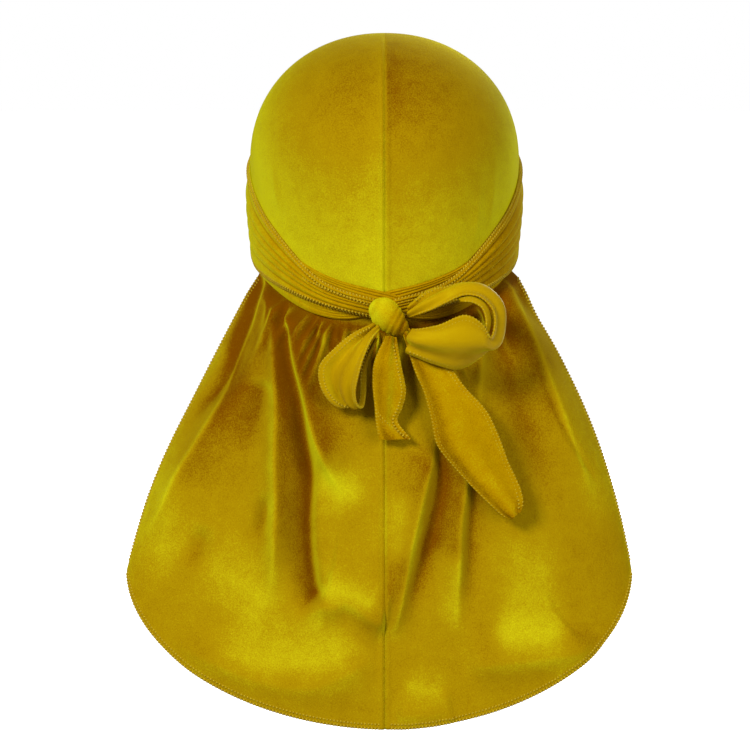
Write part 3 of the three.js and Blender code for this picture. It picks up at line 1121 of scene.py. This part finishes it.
# Knot: a rounded roll of strap, fuller at its upper left, with the turns of cloth creased into it
knotRoll = {
    "centre": (2.6, -94.8, -70.2),
    "halfSizes": (13.6, 9.5, 8.6),
    "fuller": 0.2,  # how much thicker the upper left end is
    "lean": 44,
    # Place along the roll, width and depth of each crease
    "turns": [(-0.8, 0.16, 0.1), (0.12, 0.05, 0.06), (0.36, 0.06, 0.1), (0.66, 0.12, 0.16)],
    "pleats": 5,
    "pleatDepth": 0.06,
}


def makeKnot():
    spec = knotRoll
    mesh = bmesh.new()
    bmesh.ops.create_uvsphere(mesh, u_segments=72, v_segments=48, radius=1.0)
    paintedLightAndShade = mesh.verts.layers.float.new("paintedLightAndShade")
    lean = Matrix.Rotation(math.radians(spec["lean"]), 3, "Y")
    for point in mesh.verts:
        x, y, z = point.co
        around = math.atan2(z, -y)
        skew = x + 0.16 * math.sin(around)
        crease = sum(depth * math.exp(-(((skew - at) / width) ** 2)) for at, width, depth in spec["turns"])
        pleat = spec["pleatDepth"] * abs(x) * math.cos(spec["pleats"] * around)
        girth = (1 - spec["fuller"] * x) * (1 - crease + pleat)
        place = Vector((x, y * girth, z * girth))
        place = Vector([part * half for part, half in zip(place, spec["halfSizes"])])
        point.co = (lean @ place + Vector(spec["centre"])) * mm
        # Painted light on the upper left of the roll and painted shade in its creases
        point[paintedLightAndShade] = 0.14 - 0.22 * x - 1.8 * crease
    piece = finishPiece("velvet_knot", mesh, strapVelvet, "strap_velvet")
    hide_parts("knot")
    return piece


makeKnot()
print("knot tied")

# Overlock stitches along the hems: slanted beads of thread over the edge, and a finer row inside it.
# The pitch is drawn as coarse as the photograph shows it.
overlock = {"pitch": 2.0, "slant": 0.35, "halfWidth": 0.62, "halfThick": 0.8}
overlockRows = [{"inset": 0.6, "reach": 0.95}, {"inset": 3.0, "reach": 0.7}]

beadMesh = bmesh.new()
bmesh.ops.create_uvsphere(beadMesh, u_segments=6, v_segments=4, radius=1.0)
threadBead = bpy.data.meshes.new("threadBead")
beadMesh.to_mesh(threadBead)
beadMesh.free()


def addStitches(mesh, place, across, along, inwards):
    # Rows of stitches along place(across, along), with inwards the step in the two shares to the cloth
    edge = place(across, along)
    cloth = unit(place(across + inwards[0], along + inwards[1]) - edge)
    lengths = np.concatenate([[0], np.cumsum(np.linalg.norm(np.diff(edge, axis=0), axis=1))])
    for spot in np.arange(overlock["pitch"], lengths[-1] - overlock["pitch"], overlock["pitch"]):
        centre, ahead = (
            Vector([np.interp(spot + step, lengths, edge[:, k]) for k in range(3)]) for step in (0, 0.5)
        )
        inward = Vector([np.interp(spot, lengths, cloth[:, k]) for k in range(3)]).normalized()
        run = (ahead - centre).normalized()
        lie = (inward + overlock["slant"] * run).normalized()
        normal = run.cross(inward).normalized()
        beside = normal.cross(lie)
        for row in overlockRows:
            sizes = (overlock["halfWidth"], overlock["halfThick"], row["reach"])
            columns = [axis * size * mm for axis, size in zip((beside, normal, lie), sizes)]
            matrix = Matrix([columns[0], columns[1], columns[2]]).transposed().to_4x4()
            matrix.translation = (centre + row["inset"] * inward) * mm
            stitch = threadBead.copy()
            stitch.transform(matrix)
            mesh.from_mesh(stitch)
            bpy.data.meshes.remove(stitch)


def makeStitches(name, slotName, rows):
    mesh = bmesh.new()
    for row in rows:
        addStitches(mesh, *row)
    bmesh.ops.recalc_face_normals(mesh, faces=mesh.faces)
    return finishPiece(name, mesh, overlockThread, slotName)


wholeWay = np.linspace(0, 1, 400)
sameEdge = np.ones_like(wholeWay)


def panelHems(side):
    tailPlace = lambda across, down: tailSurface(side, across, down)
    rimPlace = lambda turn, down: crownSurface(side, turn, down)
    return [
        (tailPlace, sameEdge, mix(0.03, 0.985, wholeWay), (-0.02, 0)),
        (tailPlace, mix(0.01, 0.99, wholeWay), sameEdge, (0, -0.01)),
        (rimPlace, mix(84, 179, wholeWay), sameEdge, (0, -0.02)),
    ]


def strapHems(side):
    place = lambda turn, over: strapSurface(side, turn, over)
    turns = mix(200, 357, wholeWay)
    roots = mix(-98, 2, wholeWay)
    return [
        (place, turns, 0 * turns, (0, 0.04)),
        (place, turns, 0 * turns + 1, (0, -0.04)),
        (place, roots, 0 * roots + 1, (0, -0.04)),
    ]


def ribbonHems(name):
    place = lambda along, over: ribbonSurface(name, along, over)
    shares = mix(0.03, 0.99, wholeWay)
    hems = [(place, shares, 0 * shares, (0, 0.08)), (place, shares, 0 * shares + 1, (0, -0.08))]
    if name == "end_left":
        # The cut end, turned up slantwise
        hems.append((place, mix(0.62, 0.97, wholeWay), wholeWay, (0.03, 0)))
    return hems


hemStitches = {
    "panel_left": makeStitches("overlock_panel_left", "panel_velvet", panelHems(-1)),
    "panel_right": makeStitches("overlock_panel_right", "panel_velvet", panelHems(1)),
    "strap_left": makeStitches("overlock_strap_left", "strap_velvet", strapHems(-1)),
    "strap_right": makeStitches("overlock_strap_right", "strap_velvet", strapHems(1)),
}
for name in ribbonRows:
    hemStitches[name] = makeStitches("overlock_" + name, "strap_velvet", ribbonHems(name))
bpy.data.meshes.remove(threadBead)
print("hems overlocked")

# Studio
floorSpec = {"height": -0.42, "radius": 30.0, "colour": "#f4f3f0", "glow": 0.9}
floorMesh = bmesh.new()
bmesh.ops.create_circle(floorMesh, cap_ends=True, segments=128, radius=floorSpec["radius"])
bmesh.ops.translate(floorMesh, verts=floorMesh.verts, vec=(0, 0, floorSpec["height"]))
floorData = bpy.data.meshes.new("studioFloor")
floorMesh.to_mesh(floorData)
floorMesh.free()
studioFloor = bpy.data.objects.new("studioFloor", floorData)
bpy.context.collection.objects.link(studioFloor)
studioFloor.visible_diffuse = False  # the pale floor doesn't light the cloth from below
paleCard = bpy.data.materials.new("paleStudioCard")
paleCard.use_nodes = True
paleShader = paleCard.node_tree.nodes["Principled BSDF"]
paleShader.inputs["Base Color"].default_value = linearColour(floorSpec["colour"])
paleShader.inputs["Roughness"].default_value = 0.9
paleShader.inputs["Emission Color"].default_value = linearColour("#ffffff")
paleShader.inputs["Emission Strength"].default_value = floorSpec["glow"]
floorData.materials.append(paleCard)

studioLights = [
    {"name": "keyLight", "from": (-1.1, -1.8, 1.0), "size": 0.6, "power": 46},
    {"name": "fillLight", "from": (1.5, -1.7, 0.3), "size": 1.4, "power": 24},
    {"name": "frontLight", "from": (0.6, 2.0, 0.8), "size": 1.6, "power": 28},
]
for light in studioLights:
    lamp = bpy.data.lights.new(light["name"], "AREA")
    lamp.size = light["size"]
    lamp.energy = light["power"]
    lampObject = bpy.data.objects.new(light["name"], lamp)
    lampObject.location = light["from"]
    aim = Vector((0, 0, -0.1)) - Vector(light["from"])
    lampObject.rotation_euler = aim.to_track_quat("-Z", "Y").to_euler()
    bpy.context.collection.objects.link(lampObject)
studioWorld = bpy.data.worlds.new("studioWorld")
studioWorld.use_nodes = True
worldTree = studioWorld.node_tree
backdrop = worldTree.nodes["Background"]
backdrop.inputs["Color"].default_value = linearColour("#ffffff")
seen = addNode(worldTree, "ShaderNodeLightPath").outputs["Is Camera Ray"]
strength = addNode(
    worldTree, "ShaderNodeMapRange", {"To Min": 0.22, "To Max": 1.0}, {"Value": seen}
).outputs["Result"]
worldTree.links.new(strength, backdrop.inputs["Strength"])
bpy.context.scene.world = studioWorld
bpy.context.scene.view_settings.view_transform = "Standard"
print("studio lit")
